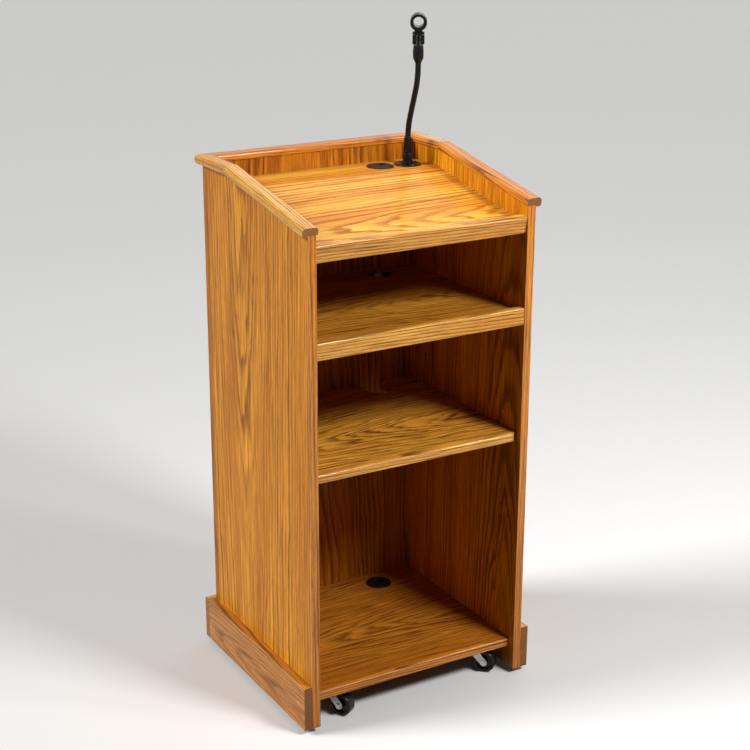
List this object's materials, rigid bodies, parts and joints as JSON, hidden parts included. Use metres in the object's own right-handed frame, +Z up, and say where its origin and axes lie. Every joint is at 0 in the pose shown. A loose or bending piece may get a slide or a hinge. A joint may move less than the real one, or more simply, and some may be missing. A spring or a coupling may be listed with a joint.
{
  "type": "lectern",
  "caption": "Oak floor lectern on swivel casters, with a sloped reading desk, open shelves and a gooseneck microphone holder.",
  "frame": {"origin": "on the floor, under the middle of the bounding box", "axes": "+Z up, +Y from the speaker's side towards the audience, +X to the speaker's right"},
  "size_m": [0.569, 0.4976, 1.437],
  "materials": {
    "veneered_oak": "satin lacquer",
    "desk_oak": "satin lacquer",
    "solid_oak": "satin lacquer",
    "grommet_plastic": "fine moulded texture",
    "black_enamel": "satin black enamel",
    "clip_plastic": "smooth moulded plastic",
    "bright_screw": "plated",
    "zinc_steel": "dull zinc plating",
    "wheel_plastic": "hard smooth plastic"
  },
  "bodies": {
    "case": {"left_side_panel": "veneered_oak", "right_side_panel": "veneered_oak", "left_front_edging": "solid_oak", "right_front_edging": "solid_oak", "back_panel": "veneered_oak", "reading_board": "desk_oak", "desk_ledge": "desk_oak", "book_stop": "solid_oak", "upper_shelf": "desk_oak", "upper_shelf_nosing": "solid_oak", "middle_shelf": "desk_oak", "middle_shelf_edging": "solid_oak", "shelf_pins": "zinc_steel", "bottom_shelf": "desk_oak", "bottom_shelf_edging": "solid_oak", "rear_cap_rail": "solid_oak", "left_level_rail": "solid_oak", "left_sloped_rail": "solid_oak", "right_level_rail": "solid_oak", "right_sloped_rail": "solid_oak", "left_base_moulding": "solid_oak", "right_base_moulding": "solid_oak", "rear_base_moulding": "solid_oak", "desk_grommet_sleeve": "grommet_plastic", "floor_grommet_sleeve": "grommet_plastic", "neck_flange": "black_enamel", "flange_screws": "bright_screw", "neck_boot": "clip_plastic", "neck_root": "black_enamel", "front_left_caster_plate": "zinc_steel", "front_right_caster_plate": "zinc_steel", "rear_left_caster_plate": "zinc_steel", "rear_right_caster_plate": "zinc_steel", "caster_screws": "zinc_steel", "caster_bearing_balls": "zinc_steel"},
    "desk_cap": {"desk_grommet_cap": "grommet_plastic"},
    "floor_cap": {"floor_grommet_cap": "grommet_plastic"},
    "neck_1": {"neck_link_1": "black_enamel"},
    "neck_2": {"neck_link_2": "black_enamel"},
    "neck_3": {"neck_link_3": "black_enamel"},
    "neck_4": {"neck_link_4": "black_enamel"},
    "neck_5": {"neck_link_5": "black_enamel"},
    "neck_6": {"neck_link_6": "black_enamel", "neck_end_collar": "black_enamel"},
    "clip_base": {"clip_socket": "clip_plastic"},
    "clip": {"microphone_clip": "clip_plastic", "clip_pivot_screw": "bright_screw"},
    "front_left_fork": {"front_left_caster_fork": "zinc_steel", "front_left_caster_axle": "zinc_steel"},
    "front_left_wheel": {"front_left_caster_wheel": "wheel_plastic"},
    "front_right_fork": {"front_right_caster_fork": "zinc_steel", "front_right_caster_axle": "zinc_steel"},
    "front_right_wheel": {"front_right_caster_wheel": "wheel_plastic"},
    "rear_left_fork": {"rear_left_caster_fork": "zinc_steel", "rear_left_caster_axle": "zinc_steel"},
    "rear_left_wheel": {"rear_left_caster_wheel": "wheel_plastic"},
    "rear_right_fork": {"rear_right_caster_fork": "zinc_steel", "rear_right_caster_axle": "zinc_steel"},
    "rear_right_wheel": {"rear_right_caster_wheel": "wheel_plastic"}
  },
  "joints": [
    {"name": "desk_cap_turn", "type": "hinge", "parent": "case", "child": "desk_cap", "pos_m": [0.132, 0.15982, 1.102], "axis": [0, 0, 1], "continuous": true},
    {"name": "floor_cap_turn", "type": "hinge", "parent": "case", "child": "floor_cap", "pos_m": [0.132, 0.15982, 0.0825], "axis": [0, 0, 1], "continuous": true},
    {"name": "neck_forward", "type": "hinge", "parent": "case", "child": "neck_1", "pos_m": [0.197, 0.15032, 1.172], "axis": [1, 0, 0], "range_deg": [-25, 25]},
    {"name": "neck_sideways", "type": "hinge", "parent": "neck_1", "child": "neck_2", "pos_m": [0.197, 0.14529, 1.20056], "axis": [0, 0.9659, 0.2588], "range_deg": [-25, 25]},
    {"name": "neck_forward_middle", "type": "hinge", "parent": "neck_2", "child": "neck_3", "pos_m": [0.197, 0.13537, 1.22781], "axis": [1, 0, 0], "range_deg": [-25, 25]},
    {"name": "neck_sideways_middle", "type": "hinge", "parent": "neck_3", "child": "neck_4", "pos_m": [0.197, 0.12545, 1.25506], "axis": [0, 0.9397, 0.342], "range_deg": [-25, 25]},
    {"name": "neck_forward_top", "type": "hinge", "parent": "neck_4", "child": "neck_5", "pos_m": [0.197, 0.11553, 1.28231], "axis": [1, 0, 0], "range_deg": [-25, 25]},
    {"name": "neck_sideways_top", "type": "hinge", "parent": "neck_5", "child": "neck_6", "pos_m": [0.197, 0.1105, 1.31087], "axis": [0, 0.9962, 0.0872], "range_deg": [-25, 25]},
    {"name": "clip_turn", "type": "hinge", "parent": "neck_6", "child": "clip_base", "pos_m": [0.197, 0.1105, 1.34217], "axis": [0, 0, 1], "range_deg": [-170, 170]},
    {"name": "clip_tilt", "type": "hinge", "parent": "clip_base", "child": "clip", "pos_m": [0.197, 0.1105, 1.38067], "axis": [0.848, -0.5299, 0], "range_deg": [-80, 80]},
    {"name": "front_left_swivel", "type": "hinge", "parent": "case", "child": "front_left_fork", "pos_m": [-0.183, -0.17918, 0.055], "axis": [0, 0, 1], "continuous": true},
    {"name": "front_left_roll", "type": "hinge", "parent": "front_left_fork", "child": "front_left_wheel", "pos_m": [-0.17032, -0.20302, 0.0254], "axis": [0.8829, 0.4695, 0], "continuous": true},
    {"name": "front_right_swivel", "type": "hinge", "parent": "case", "child": "front_right_fork", "pos_m": [0.183, -0.17918, 0.055], "axis": [0, 0, 1], "continuous": true},
    {"name": "front_right_roll", "type": "hinge", "parent": "front_right_fork", "child": "front_right_wheel", "pos_m": [0.20141, -0.19892, 0.0254], "axis": [0.7314, 0.682, 0], "continuous": true},
    {"name": "rear_left_swivel", "type": "hinge", "parent": "case", "child": "rear_left_fork", "pos_m": [-0.183, 0.14482, 0.055], "axis": [0, 0, 1], "continuous": true},
    {"name": "rear_left_roll", "type": "hinge", "parent": "rear_left_fork", "child": "rear_left_wheel", "pos_m": [-0.16638, 0.12355, 0.0254], "axis": [0.788, 0.6157, 0], "continuous": true},
    {"name": "rear_right_swivel", "type": "hinge", "parent": "case", "child": "rear_right_fork", "pos_m": [0.183, 0.14482, 0.055], "axis": [0, 0, 1], "continuous": true},
    {"name": "rear_right_roll", "type": "hinge", "parent": "rear_right_fork", "child": "rear_right_wheel", "pos_m": [0.19731, 0.12193, 0.0254], "axis": [0.848, 0.5299, 0], "continuous": true}
  ],
  "couplings": [
    {"joint": "neck_forward_middle", "follows": "neck_forward", "ratio": 1},
    {"joint": "neck_forward_top", "follows": "neck_forward", "ratio": 1},
    {"joint": "neck_sideways_middle", "follows": "neck_sideways", "ratio": 1},
    {"joint": "neck_sideways_top", "follows": "neck_sideways", "ratio": 1}
  ]
}
